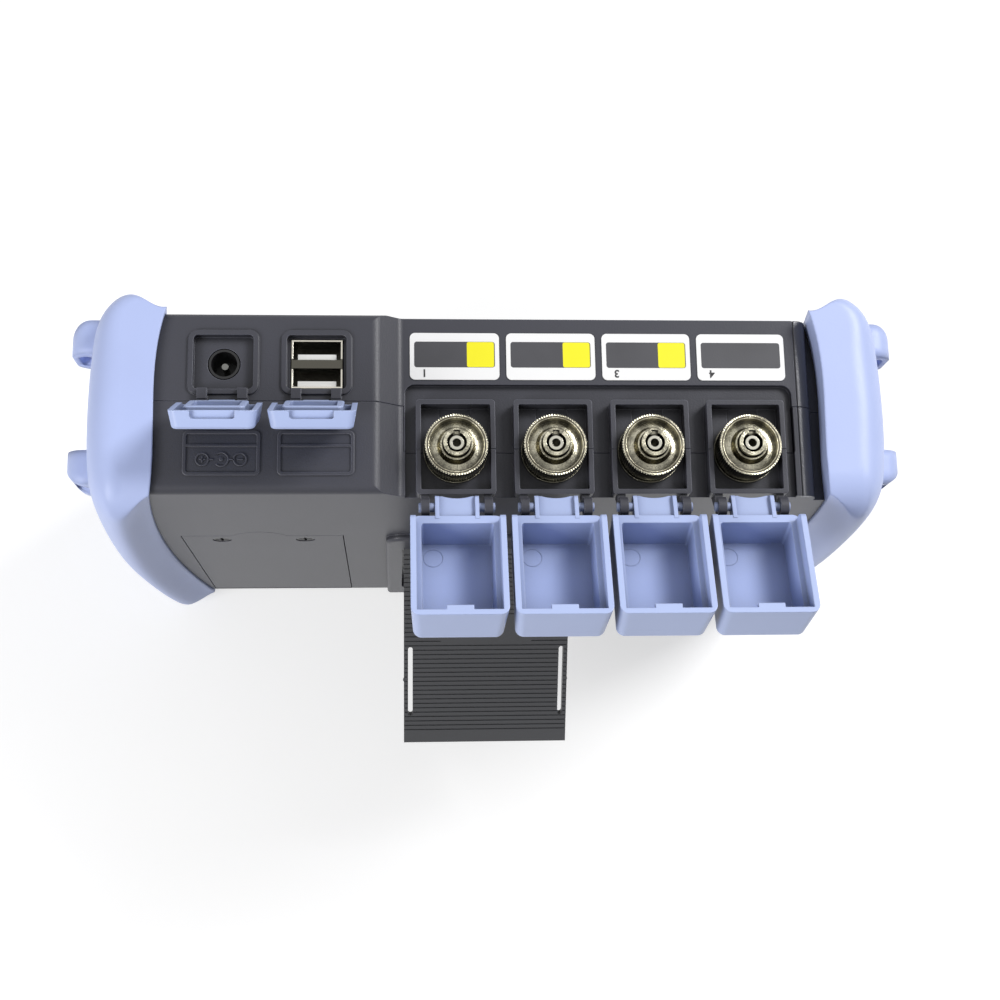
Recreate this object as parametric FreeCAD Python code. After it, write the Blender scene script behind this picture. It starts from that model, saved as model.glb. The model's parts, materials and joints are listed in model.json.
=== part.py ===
import FreeCAD, Part
import os
from math import cos, pi, radians, sin

from FreeCAD import Vector

# Handheld optical time domain reflectometer, standing upright on its two rubber bumpers.
# +Z is up, the screen faces -Y, the rear with the stand and the battery door faces +Y.
# Y = 0 is the plane where the front and rear shells part, Z = 0 the underside of the case.
# Millimetres throughout.
# The port caps, the socket flaps and the stand are drawn open, as the device is shown.

# Case
shell_seam = 0.2
case_height = 165.0
front_depth = 27.0
rear_depth = 27.4
end_wall = 13.0
wall = 2.4
rear_wall = 4.5
edge_radius = 2.5
top_wall = 7.0

# Lower port section of the top face, with the slope that joins it to the socket section
port_drop = 5.0
port_slope_gap = 16.1
slope_run = 7.0
slope_socket_gap = 17.4
end_groove_width = 11.7
end_pillar_radius = 4.4
end_pillar_line = 0.4
end_groove_depth = 6.0
pocket_depth = 2.0
pocket_front_gap = 5.5
pocket_side_gap = 1.3
port_parting_height = 22.0

# Bumpers
bumper_foot = 2.0
bumper_reach = 11.5
bumper_crown = 16.0
bumper_shoulder = 45.0
lip_cover = 10.3
lip_bow = 6.0
lip_front_reach = 2.8
lip_rear_ease = 0.6
lip_height = 0.9
front_bead = 7.2
rear_bead = 6.8
bulge_out = 1.8
bulge_rear = 3.4
crown_inset = 11.0
bead_fade = 0.62
rear_corner_radius = 14.0

# Strap lugs
lug_reach = 7.0
lug_height = 16.0
lug_length = 10.5
lug_drop = 25.0
front_lug_y = -25.0
rear_lug_y = 15.5
strap_slot_height = 9.0
strap_slot_width = 4.6
strap_slot_wall = 2.1

# Fibre ports, in a row from the socket side towards the port end
port_count = 4
port_end_margin = 32.8
port_rear_gap = 13.6

# Shrouds round the ports
nut_room = 0.9
shroud_length = 28.5
shroud_wall = 1.4
shroud_rise = 3.0
latch_seat_room = 0.9
latch_seat_depth = 0.4

# Port adapter: a base with a hollow spigot, a ferrule sleeve and a knurled nut
adapter_hole_radius = 6.4
adapter_clearance = 0.3
flange_reach = 0.1
flange_height = 1.6
spigot_radius = 3.9
spigot_bore = 2.9
spigot_top = 10.4
key_slot_width = 2.0
key_slot_depth = 2.4
sleeve_radius = 2.1
ferrule_bore = 1.26
nut_radius = 9.3
nut_height = 7.7
nut_rim = 1.3
nut_dish = 2.1
nut_hub_radius = 5.6
nut_hub_top_radius = 4.7
nut_hub_rise = 0.8
nut_bevel = 0.15
knurl_count = 72
knurl_depth = 0.5

# Port caps, hinged behind the ports
cap_shroud_gap = 0.3
cap_spacing = 1.6
cap_front_gap = 0.8
cap_height = 16.8
cap_wall = 1.65
cap_inner_wall = 3.0
cap_roof = 1.4
cap_corner = 2.5
cap_draft = 0.8
cap_inner_draft = 0.5
cap_hinge_draft = 1.9
cap_rest_gap = 0.3
cap_rear_overhang = 0.9
cap_hinge_wall = 1.9
cap_side_setback = 1.9
cap_open_angle = 162.0
latch_width = 7.5
latch_reach = 1.3
latch_height = 1.4

# Cap hinge
cap_pin_radius = 1.4
cap_pin_reach = 4.5
cap_pin_rise = 5.0
cap_pin_tip = 0.7
ear_radius = 2.9
ear_thickness = 2.4
ear_gap = 1.55
pin_fit = 0.06
tongue_width = 12.7
tongue_flange = 1.2
tongue_web = 1.3
tongue_end = 3.4
tongue_notch_radius = 13.0
tongue_notch_depth = 0.7

# Sockets on the higher section
socket_end_margin = 29.6
socket_spacing = 2.6
socket_y = -11.6
frame_width = 20.7
frame_length = 19.8
frame_rim = 1.65
frame_rise = 0.8
frame_corner = 3.0
frame_round = 0.35
socket_recess = 1.8
dc_hole_radius = 4.5
dc_barrel_depth = 11.0
dc_wall = 0.7
dc_pin_radius = 1.0
usb_width = 14.9
usb_stack = 14.8
usb_shell = 0.5
usb_depth = 15.0
usb_divider = 2.6
usb_tongue_width = 11.2
usb_tongue_thickness = 1.9

# Flaps over the sockets
flap_height = 5.3
flap_wall = 1.6
flap_frame_gap = 0.25
flap_roof = 1.8
flap_rest_gap = 0.3
flap_corner = 2.2
flap_heel = 2.8
flap_open_angle = 113.0
plug_side_gap = 0.2
plug_end_gap = 1.05
plug_wall = 1.9
plug_round = 0.5
plug_rise = 1.2
finger_notch_width = 12.2
finger_notch_depth = 2.3
flap_pin_radius = 0.9
flap_pin_y = 1.8
flap_pin_rise = 1.7
flap_arm_width = 7.4
flap_eye_radius = 1.5
knuckle_width = 2.9
knuckle_offset = 5.8
knuckle_radius = 1.7
knuckle_front_y = -3.2

# Raised outlines behind the sockets
outline_length = 13.2
outline_side = 0.65
outline_rib = 0.9
outline_rise = 0.5
outline_rear_gap = 18.3
outline_split = 4.1

# Battery door
door_side_land = 2.5
door_width = 51.8
door_top_drop = 61.5
door_bottom_z = 3.0
door_thickness = 2.0
door_gap = 0.35
door_bump_width = 17.2
door_bump_rise = 6.0
door_bump_shift = 0.7
door_ledge = 3.4
door_screw_spacing = 27.1
door_screw_drop = 6.2
door_screw_radius = 3.1
door_swing_radius = 0.95

# Stand and the raised border it folds into
stand_x = -2.2
stand_width = 56.0
stand_end_z = 17.2
stand_thickness = 3.4
stand_pivot_drop = 77.0
stand_open_angle = 62.0
stand_side_gap = 0.5
stand_floor_gap = 0.3
stand_pin_radius = 1.2
stand_pin_seat = 2.25
rib_pitch = 1.62
rib_groove = 0.45
rib_depth = 0.45
pad_width = 33.4
pad_top = 24.6
pad_length = 9.2
stand_slot_width = 1.6
stand_slot_end = 10.2
stand_slot_length = 25.0
stand_slot_inset = 2.2
pip_rise = 22.8
pip_radius = 0.9
pip_reach = 0.35
border_rise = 2.1
border_width = 5.4
border_top_radius = 6.0
border_head = 12.0

# Screen side
screen_drop = 77.0
glass_border = 3.0
glass_thickness = 1.1
glass_gap = 0.2
gasket_thickness = 0.3
gasket_width = 2.4
lcd_overlap = 3.0
lcd_end_gap = 4.0
lcd_key_gap = 12.5
lcd_height_room = 67.0
lcd_thickness = 5.0
key_side_room = 6.5
key_width = 13.0
key_height = 8.0
key_gap = 0.3
key_rise = 1.2
key_pitch = 16.0
key_travel = 0.6
membrane_gap = 0.1
key_names = ["key_power", "key_menu", "key_back", "key_up", "key_enter", "key_down", "key_test"]
membrane_thickness = 0.8
led_radius = 1.2

# Inside
board_thickness = 1.6
board_y = -12.0
board_margin = 6.0
standoff_radius = 3.0
optics_length = 108.0
optics_height = 34.0
optics_depth = 30.0
battery_depth = 20.0
battery_gap = 0.5
case_screw_inset = 4.2
case_screw_radius = 1.5
case_screw_head = 2.8
case_screw_gap = 0.2
case_screw_head_depth = 12.0

# Label plates in front of the ports
label_spacing = 2.1
label_length = 14.5
label_pocket_gap = 1.4
label_corner = 1.6
label_thickness = 0.3

# Levels and places that follow from the sizes above
z_bottom = 0.0
z_top = z_bottom + case_height
z_port = z_top - port_drop
z_pocket = z_port - pocket_depth
z_rim = z_port + shroud_rise
shroud_width = 2 * (nut_radius + nut_room + shroud_wall)
cap_width = shroud_width + 2 * (cap_wall + cap_shroud_gap)
port_pitch = cap_width + cap_spacing
flap_width = frame_width + 2 * (flap_wall + flap_frame_gap)
socket_pitch = flap_width + socket_spacing
case_half_width = (port_end_margin + (port_count - 1) * port_pitch + port_slope_gap + slope_run
                   + slope_socket_gap + socket_pitch + socket_end_margin) / 2
first_port_x = (port_count - 1) * port_pitch + port_end_margin - case_half_width
port_xs = [first_port_x - index * port_pitch for index in range(port_count)]
slope_foot_x = first_port_x + port_slope_gap
usb_x = slope_foot_x + slope_run + slope_socket_gap
dc_x = usb_x + socket_pitch
end_pillar_x = case_half_width - end_groove_width
cavity_half_width = case_half_width - end_wall
bumper_half_width = case_half_width + bumper_reach
bumper_height = case_height + 2 * bumper_foot
lip_x = case_half_width - lip_cover
case_screw_x = case_half_width - case_screw_inset
shroud_rear_y = rear_depth
shroud_front_y = shroud_rear_y - shroud_length
port_y = rear_depth - port_rear_gap
pocket_front_y = shroud_front_y - pocket_front_gap
label_front_y = pocket_front_y - label_pocket_gap - label_length
label_width = port_pitch - label_spacing
flange_radius = nut_radius + flange_reach
latch_seat_width = latch_width + 2 * latch_seat_room
cap_front_y = pocket_front_y + cap_front_gap
cap_rear_y = rear_depth + cap_rear_overhang
cap_pin_y = rear_depth + cap_pin_reach
ear_offset = tongue_width / 2 + ear_gap + ear_thickness / 2
cap_pin_length = 2 * (ear_offset + ear_thickness / 2 + cap_pin_tip)
z_cap_rim = z_pocket + cap_rest_gap
cap_pin_z = z_port + cap_pin_rise
pocket_x_high = port_xs[0] + cap_width / 2 + pocket_side_gap
pocket_x_low = port_xs[-1] - cap_width / 2 - pocket_side_gap
flap_pin_z = z_top + flap_pin_rise
plug_width = frame_width - 2 * (frame_rim + plug_side_gap)
plug_length = frame_length - 2 * (frame_rim + plug_end_gap)
outline_width = frame_width + 2 * outline_side
outline_y = rear_depth - outline_rear_gap
flap_rear_y = socket_y + frame_length / 2 + flap_frame_gap
flap_front_y = socket_y - frame_length / 2 - flap_frame_gap - flap_wall
door_top_z = z_top - door_top_drop
door_x = cavity_half_width + door_side_land - door_width / 2
door_bump_x = door_x + door_bump_shift
stand_outer_y = rear_depth + border_rise
stand_pivot_y = stand_outer_y - stand_thickness / 2
stand_pivot_z = z_top - stand_pivot_drop
stand_length = stand_pivot_z - stand_end_z
stand_slot_start = stand_length - stand_slot_end - stand_slot_length
stand_pin_length = stand_width + 2 * stand_pin_seat
pip_position = stand_length - pip_rise
screen_z = z_top - screen_drop
key_x = cavity_half_width - key_side_room - key_width / 2
lcd_width = key_x - key_width / 2 - lcd_key_gap + cavity_half_width - lcd_end_gap
lcd_height = case_height - lcd_height_room
screen_x = lcd_width / 2 + lcd_end_gap - cavity_half_width
glass_width = lcd_width + 2 * glass_border
glass_height = lcd_height + 2 * glass_border
window_width = lcd_width - 2 * lcd_overlap
window_height = lcd_height - 2 * lcd_overlap
key_zs = [screen_z + (3 - index) * key_pitch for index in range(len(key_names))]
cavity_top = z_top - top_wall - port_drop
cavity_bottom = z_bottom + wall
cavity_front_y = -front_depth + wall
cavity_rear_y = rear_depth - rear_wall
nut_base = flange_height + adapter_clearance


# Shape helpers

def block(x0, x1, y0, y1, z0, z1):
    return Part.makeBox(x1 - x0, y1 - y0, z1 - z0, Vector(x0, y0, z0))


def centred(x, width, y0, y1, z0, z1):
    return block(x - width / 2, x + width / 2, y0, y1, z0, z1)


def round_outline(points):
    """Closed wire through 2-D corners (a, b, radius), each corner rounded by its tangent arc."""
    edges = []
    starts = []
    count = len(points)
    for index in range(count):
        a, b, radius = points[index]
        corner = Vector(a, b, 0)
        before = Vector(points[index - 1][0], points[index - 1][1], 0) - corner
        after = Vector(points[(index + 1) % count][0], points[(index + 1) % count][1], 0) - corner
        if radius <= 0:
            starts.append((corner, corner, None))
            continue
        before.normalize()
        after.normalize()
        half = before.getAngle(after) / 2
        reach = radius / (sin(half) / cos(half))
        middle = (before + after).normalize() * (radius / sin(half) - radius)
        starts.append((corner + before * reach, corner + after * reach, corner + middle))
    for index in range(count):
        first, last, middle = starts[index]
        if middle is not None:
            edges.append(Part.Arc(first, middle, last).toShape())
        following = starts[(index + 1) % count][0]
        if last.distanceToPoint(following) > 1e-6:
            edges.append(Part.LineSegment(last, following).toShape())
    return Part.Wire(edges)


def box_outline(a0, a1, b0, b1, radius):
    return round_outline([(a0, b0, radius), (a1, b0, radius), (a1, b1, radius), (a0, b1, radius)])


def prism_z(wire, z0, z1):
    face = Part.Face(wire)
    face.translate(Vector(0, 0, z0))
    return face.extrude(Vector(0, 0, z1 - z0))


def prism_y(wire, y0, y1):
    """Extrude an outline drawn as (x, z) along Y."""
    face = Part.Face(wire)
    face.rotate(Vector(0, 0, 0), Vector(1, 0, 0), 90)
    face.translate(Vector(0, y0, 0))
    return face.extrude(Vector(0, y1 - y0, 0))


def prism_x(wire, x0, x1):
    """Extrude an outline drawn as (y, z) along X."""
    face = Part.Face(wire)
    face.rotate(Vector(0, 0, 0), Vector(1, 1, 1), 120)
    face.translate(Vector(x0, 0, 0))
    return face.extrude(Vector(x1 - x0, 0, 0))


def rod_x(x0, x1, y, z, radius):
    return Part.makeCylinder(radius, x1 - x0, Vector(x0, y, z), Vector(1, 0, 0))


def rod_y(x, z, y0, y1, radius):
    return Part.makeCylinder(radius, y1 - y0, Vector(x, y0, z), Vector(0, 1, 0))


def rod_z(x, y, z0, z1, radius):
    return Part.makeCylinder(radius, z1 - z0, Vector(x, y, z0))


def union(shapes):
    return shapes[0].multiFuse(shapes[1:]).removeSplitter()


def turned(shape, y, z, angle):
    """Copy of a shape turned about a hinge along X; positive tips the -Y side up and over."""
    copy = shape.copy()
    copy.rotate(Vector(0, y, z), Vector(1, 0, 0), -angle)
    return copy


def moved(shape, x=0.0, y=0.0, z=0.0):
    copy = shape.copy()
    copy.translate(Vector(x, y, z))
    return copy


def save(name, shape):
    solids = shape.Solids
    result = solids[0] if len(solids) == 1 else Part.makeCompound(solids)
    if not result.isValid():
        print("invalid shape:", name)
    result.exportStep(os.path.join("parts", name + ".step"))
    print(name, len(solids), round(result.Volume, 1))


# Case

def case_envelope():
    """Outside of the closed case, without openings."""
    corner = edge_radius
    groove_z = z_port - end_groove_depth
    profile = round_outline([
        (case_half_width, z_bottom, corner),
        (case_half_width, z_top, corner),
        (slope_foot_x + slope_run, z_top, 4.0),
        (slope_foot_x, z_port, 3.0),
        (-end_pillar_x, z_port, end_pillar_radius),
        (-end_pillar_x, groove_z, 0),
        (-case_half_width, groove_z, corner),
        (-case_half_width, z_bottom, corner),
    ])
    body = prism_y(profile, -front_depth, rear_depth)
    section = box_outline(-front_depth, rear_depth, z_bottom, z_top, edge_radius)
    return body.common(prism_x(section, -case_half_width, case_half_width))


def port_region(parting_y):
    """Volume in front of the parting plane of the port section."""
    return block(pocket_x_low, slope_foot_x - 1, -front_depth - 9, parting_y,
                 z_port - port_parting_height, z_top + 20)


def seam_space():
    """Thin gap left behind the parting plane, so that the shells meet with a fine seam."""
    seam = block(-case_half_width - 1, case_half_width + 1, -1, shell_seam, z_bottom - 1, z_top + 20)
    jog = block(pocket_x_low - shell_seam, slope_foot_x - 1 + shell_seam, 0, port_y + shell_seam,
                z_port - port_parting_height - shell_seam, z_top + 20)
    return seam.fuse(jog)


def shroud(x):
    outer = prism_z(box_outline(x - shroud_width / 2, x + shroud_width / 2,
                                shroud_front_y, shroud_rear_y, 1.0), z_pocket - 1, z_rim)
    inner = prism_z(box_outline(x - shroud_width / 2 + shroud_wall, x + shroud_width / 2 - shroud_wall,
                                shroud_front_y + shroud_wall, shroud_rear_y - shroud_wall, 0.5),
                    z_pocket, z_rim + 1)
    return outer.cut(inner)


def hinge_ears(x):
    ears = []
    arm = round_outline([
        (rear_depth - 1, z_rim - 7, 0),
        (cap_pin_y + ear_radius * 0.9, cap_pin_z - ear_radius * 0.5, 0),
        (cap_pin_y - ear_radius * 0.9, z_rim - 0.8, 0),
        (rear_depth - 1, z_rim - 0.8, 0),
    ])
    for side in (-1, 1):
        x0 = x + side * ear_offset - ear_thickness / 2
        ear = union([prism_x(arm, x0, x0 + ear_thickness),
                     rod_x(x0, x0 + ear_thickness, cap_pin_y, cap_pin_z, ear_radius)])
        ears.append(ear.cut(rod_x(x0 - 1, x0 + ear_thickness + 1, cap_pin_y, cap_pin_z,
                                  cap_pin_radius + pin_fit)))
    return ears


def socket_frame(x):
    """Raised rim round a socket, standing on the top face."""
    outer = box_outline(x - frame_width / 2, x + frame_width / 2,
                        socket_y - frame_length / 2, socket_y + frame_length / 2, frame_corner)
    rim = prism_z(outer, z_top - 1, z_top + frame_rise)
    top_edges = [edge for edge in rim.Edges
                 if min(vertex.Point.z for vertex in edge.Vertexes) > z_top + frame_rise - 0.01]
    return rim.makeFillet(frame_round, top_edges)


def socket_well(x):
    inner = box_outline(x - frame_width / 2 + frame_rim, x + frame_width / 2 - frame_rim,
                        socket_y - frame_length / 2 + frame_rim,
                        socket_y + frame_length / 2 - frame_rim, frame_corner - frame_rim)
    return prism_z(inner, z_top - socket_recess, z_top + frame_rise + 1)


def flap_knuckles(x):
    pieces = []
    for side in (-1, 1):
        x0 = x + side * knuckle_offset - knuckle_width / 2
        bar = block(x0, x0 + knuckle_width, knuckle_front_y, flap_pin_y, z_top - 1, flap_pin_z + 0.6)
        round_end = rod_x(x0, x0 + knuckle_width, flap_pin_y, flap_pin_z, knuckle_radius)
        foot = block(x0, x0 + knuckle_width, flap_pin_y - 1, flap_pin_y + knuckle_radius,
                     z_top - 1, flap_pin_z)
        knuckle = union([bar, round_end, foot])
        pieces.append(knuckle.cut(rod_x(x0 - 1, x0 + knuckle_width + 1, flap_pin_y, flap_pin_z,
                                        flap_pin_radius + pin_fit)))
    return pieces


def raised_outline(x):
    """Two-field embossed outline behind a socket."""
    y0 = outline_y
    y1 = outline_y + outline_length
    outer = prism_z(box_outline(x - outline_width / 2, x + outline_width / 2, y0, y1, 1.5),
                    z_top - 0.5, z_top + outline_rise)
    inner = prism_z(box_outline(x - outline_width / 2 + outline_rib, x + outline_width / 2 - outline_rib,
                                y0 + outline_rib, y1 - outline_rib, 0.8), z_top - 1, z_top + 1)
    bar = centred(x, outline_width, y0 + outline_split, y0 + outline_split + outline_rib * 0.7,
                  z_top - 0.5, z_top + outline_rise)
    return union([outer.cut(inner), bar])


def stand_border():
    """Raised border of the stand's recess, open at the bottom edge of the case."""
    half = stand_width / 2 + stand_side_gap + border_width
    top = stand_pivot_z + border_head + border_width
    outline = round_outline([
        (stand_x - half, z_bottom + edge_radius, 1.0), (stand_x + half, z_bottom + edge_radius, 1.0),
        (stand_x + half, top, border_top_radius), (stand_x - half, top, border_top_radius)])
    hump = prism_y(outline, rear_depth - 1, stand_outer_y)
    outer_edges = [edge for edge in hump.Edges
                   if min(vertex.Point.y for vertex in edge.Vertexes) > stand_outer_y - 0.01]
    return hump.makeFillet(border_rise * 0.6, outer_edges)


def stand_recess():
    half = stand_width / 2 + stand_side_gap
    floor_y = stand_outer_y - stand_thickness - stand_floor_gap
    top = stand_pivot_z + stand_thickness / 2 + 1.2
    bottom = stand_pivot_z - stand_length - 1.0
    recess = prism_y(round_outline([
        (stand_x - half, bottom, 1.5), (stand_x + half, bottom, 1.5),
        (stand_x + half, top, 1.0), (stand_x - half, top, 1.0)]), floor_y, stand_outer_y + 5)
    finger = prism_y(box_outline(stand_x - 11, stand_x + 11, bottom - 6, bottom + 3, 2.5),
                     floor_y, stand_outer_y + 5)
    pin_bore = rod_x(stand_x - stand_pin_length / 2 - 0.1, stand_x + stand_pin_length / 2 + 0.1,
                     stand_pivot_y, stand_pivot_z, stand_pin_radius + pin_fit)
    return union([recess, finger, pin_bore])


def door_outline(gap):
    """Outline of the battery door in (x, z), or of its seat when gap is positive."""
    x0 = door_x - door_width / 2 - gap
    x1 = door_x + door_width / 2 + gap
    z0 = door_bottom_z - gap
    z1 = door_top_z + gap
    bump = door_bump_width / 2
    points = [Vector(x0, z0, 0), Vector(x1, z0, 0), Vector(x1, z1, 0),
              Vector(door_bump_x + bump, z1, 0), Vector(door_bump_x - bump, z1, 0), Vector(x0, z1, 0)]
    crown = Vector(door_bump_x, z1 + door_bump_rise, 0)
    edges = [Part.LineSegment(points[index], points[index + 1]).toShape() for index in (0, 1, 2)]
    edges.append(Part.Arc(points[3], crown, points[4]).toShape())
    edges.append(Part.LineSegment(points[4], points[5]).toShape())
    edges.append(Part.LineSegment(points[5], points[0]).toShape())
    return Part.Wire(edges)


def battery_opening():
    x0 = door_x - door_width / 2 + door_ledge
    x1 = door_x + door_width / 2 - door_ledge
    z0 = door_bottom_z + door_ledge
    z1 = door_top_z - door_screw_drop * 2
    return box_outline(x0, x1, z0, z1, 2.0)


def door_screw_places():
    z = door_top_z - door_screw_drop
    return [(door_x - door_screw_spacing / 2, z), (door_x + door_screw_spacing / 2, z)]


def case_screw_places():
    return [(side * case_screw_x, z) for side in (-1, 1) for z in (z_bottom + 10, z_port - 14)]


def hollow():
    """Room inside the case, below the port wells and between the screw posts."""
    main = block(-cavity_half_width, cavity_half_width, cavity_front_y, cavity_rear_y,
                 cavity_bottom, cavity_top)
    return main


def make_shells():
    case = case_envelope()
    pocket = prism_z(round_outline([
        (pocket_x_low, pocket_front_y, 3.0), (pocket_x_high, pocket_front_y, 3.0),
        (pocket_x_high, rear_depth + 9, 0), (pocket_x_low, rear_depth + 9, 0)]),
        z_pocket, z_top + 9)
    line_x = -end_pillar_x + end_pillar_radius
    pillar_line = block(line_x, line_x + end_pillar_line, -front_depth - 1, rear_depth + 1,
                        z_port - end_pillar_line, z_port + 1)
    case = case.cut(pocket).cut(pillar_line)
    case = case.cut(hollow())
    additions = [shroud(x) for x in port_xs]
    additions += [socket_frame(x) for x in (dc_x, usb_x)]
    additions += [raised_outline(x) for x in (dc_x, usb_x)]
    additions.append(stand_border())
    for x in port_xs:
        additions += hinge_ears(x)
    for x in (dc_x, usb_x):
        additions += flap_knuckles(x)
    case = union([case] + additions)
    removals = [socket_well(x) for x in (dc_x, usb_x)]
    removals.append(stand_recess())
    for x in port_xs:
        removals.append(rod_z(x, port_y, cavity_top - 1, z_pocket + 1, adapter_hole_radius + adapter_clearance))
        removals.append(centred(x, latch_seat_width, shroud_front_y + shroud_wall, port_y,
                                z_pocket - latch_seat_depth, z_pocket + 0.5))
    removals.append(rod_z(dc_x, socket_y, cavity_top - 1, z_top, dc_hole_radius + adapter_clearance))
    removals.append(block(usb_x - usb_width / 2 - adapter_clearance, usb_x + usb_width / 2 + adapter_clearance,
                          socket_y - usb_stack / 2 - adapter_clearance,
                          socket_y + usb_stack / 2 + adapter_clearance, cavity_top - 1, z_top))
    removals.append(prism_y(door_outline(door_gap), rear_depth - door_thickness - 0.3, rear_depth + 5))
    removals.append(prism_y(battery_opening(), cavity_rear_y - 1, rear_depth + 1))
    for x, z in door_screw_places():
        removals.append(rod_y(x, z, cavity_rear_y + 0.8, rear_depth, case_screw_radius))
    removals.append(prism_y(box_outline(
        screen_x - window_width / 2, screen_x + window_width / 2,
        screen_z - window_height / 2, screen_z + window_height / 2, 2.0), -front_depth - 1, cavity_front_y + 1))
    removals.append(prism_y(box_outline(
        screen_x - glass_width / 2 - glass_gap, screen_x + glass_width / 2 + glass_gap,
        screen_z - glass_height / 2 - glass_gap, screen_z + glass_height / 2 + glass_gap, 4.0),
        -front_depth - 1, -front_depth + glass_thickness + gasket_thickness))
    for z in key_zs:
        removals.append(prism_y(key_outline(z, key_gap), -front_depth - 1, cavity_front_y + 1))
    removals.append(rod_y(key_x, led_z(), -front_depth - 1, cavity_front_y + 1, led_radius + 0.05))
    for x, z in case_screw_places():
        removals.append(rod_y(x, z, -front_depth + 6, rear_depth + 1, case_screw_radius + case_screw_gap))
        removals.append(rod_y(x, z, rear_depth - case_screw_head_depth, rear_depth + 1,
                              case_screw_head + case_screw_gap))
    case = case.cut(removals[0].multiFuse(removals[1:]))
    front_space = block(-case_half_width - 1, case_half_width + 1, -front_depth - 9, 0, -1, z_top + 20)
    front_space = front_space.fuse(port_region(port_y))
    front = case.common(front_space)
    rear = case.cut(front_space.fuse(seam_space()))
    rear = rear.multiFuse(board_posts())
    return case_envelope(), largest(front), largest(rear)


def largest(shape):
    return max(shape.Solids, key=lambda solid: solid.Volume)


def board_size():
    half = cavity_half_width - board_margin
    return (-half, half, cavity_bottom + board_margin, cavity_top - optics_height - board_margin)


def board_posts():
    """Posts on the rear shell that carry the main board."""
    x0, x1, z0, z1 = board_size()
    inset = 2 * standoff_radius
    inner_x = door_x - door_width / 2 - inset
    places = [(x, z) for x in (x0 + inset, inner_x) for z in (z0 + inset, z1 - inset)]
    return [rod_y(x, z, board_y + board_thickness, cavity_rear_y + 1, standoff_radius)
            for x, z in places]


# Screen side

def key_outline(z, gap):
    return box_outline(key_x - key_width / 2 - gap, key_x + key_width / 2 + gap,
                       z - key_height / 2 - gap, z + key_height / 2 + gap, 2.6 + gap)


def led_z():
    return key_zs[0] + key_pitch * 0.8


def make_key(z):
    outer_y = -front_depth - key_rise
    key = prism_y(key_outline(z, 0), outer_y, cavity_front_y)
    rim = [edge for edge in key.Edges
           if max(vertex.Point.y for vertex in edge.Vertexes) < outer_y + 0.01]
    return key.makeFillet(key_rise * 0.5, rim)


def make_membrane():
    z0 = key_zs[-1] - key_height
    z1 = key_zs[0] + key_height
    gap = key_travel + membrane_gap
    sheet = centred(key_x, key_width + 6, cavity_front_y + gap, cavity_front_y + gap + membrane_thickness, z0, z1)
    rim = centred(key_x, key_width + 6, cavity_front_y, cavity_front_y + gap, z0, z1)
    rim = rim.cut(centred(key_x, key_width + 3, cavity_front_y - 1, cavity_front_y + gap + 1, z0 + 1.5, z1 - 1.5))
    return union([sheet, rim])


def make_screen():
    y0 = -front_depth
    glass = prism_y(box_outline(screen_x - glass_width / 2, screen_x + glass_width / 2,
                                screen_z - glass_height / 2, screen_z + glass_height / 2, 3.8),
                    y0, y0 + glass_thickness)
    outer = box_outline(screen_x - glass_width / 2, screen_x + glass_width / 2,
                        screen_z - glass_height / 2, screen_z + glass_height / 2, 3.8)
    gasket = prism_y(outer, y0 + glass_thickness, y0 + glass_thickness + gasket_thickness)
    gasket = gasket.cut(centred(screen_x, glass_width - 2 * gasket_width, y0, 0,
                                screen_z - glass_height / 2 + gasket_width,
                                screen_z + glass_height / 2 - gasket_width))
    lcd = centred(screen_x, lcd_width, cavity_front_y, cavity_front_y + lcd_thickness,
                  screen_z - lcd_height / 2, screen_z + lcd_height / 2)
    lens = rod_y(key_x, led_z(), -front_depth - 0.3, cavity_front_y, led_radius)
    return glass, gasket, lcd, lens


# Bumpers

def bumper_section(z, outer, lip, bead_scale, bulge):
    """Half-moon section of a bumper at one height, from the front lip round to the rear lip."""
    front = front_depth
    rear = rear_depth
    lip_front = lip - lip_front_reach
    lip_rear = lip + lip_rear_ease
    bead_x = lip + (outer - lip) * 0.45
    shoulder_x = lip + (outer - lip) * 0.80
    side_x = outer - (outer - shoulder_x) * 0.20
    swell = bulge_rear * bulge
    points = [
        (lip_front, -front - lip_height),
        (lip_front + (bead_x - lip_front) * 0.5, -front - front_bead * bead_scale * 0.50),
        (bead_x, -front - front_bead * bead_scale),
        (shoulder_x, -front * 1.08),
        (side_x, -front * 0.66),
        (outer, 0.0),
        (side_x + swell * 0.3, rear * 0.64),
        (shoulder_x + swell * 0.5, rear * 1.02 + swell * 0.7),
        (bead_x, rear + rear_bead * bead_scale + swell * 0.4),
        (lip_rear + (bead_x - lip_rear) * 0.5, rear + rear_bead * bead_scale * 0.60),
        (lip_rear, rear + lip_height),
    ]
    inner_points = [
        (lip_rear, rear + lip_height), (lip, rear * 0.55), (lip, -front * 0.45),
        (lip_front, -front - lip_height),
    ]
    outside = Part.BSplineCurve()
    outside.interpolate([Vector(x, y, z) for x, y in points])
    inside = Part.BSplineCurve()
    inside.interpolate([Vector(x, y, z) for x, y in inner_points])
    return Part.Wire([outside.toShape(), inside.toShape()])


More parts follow.
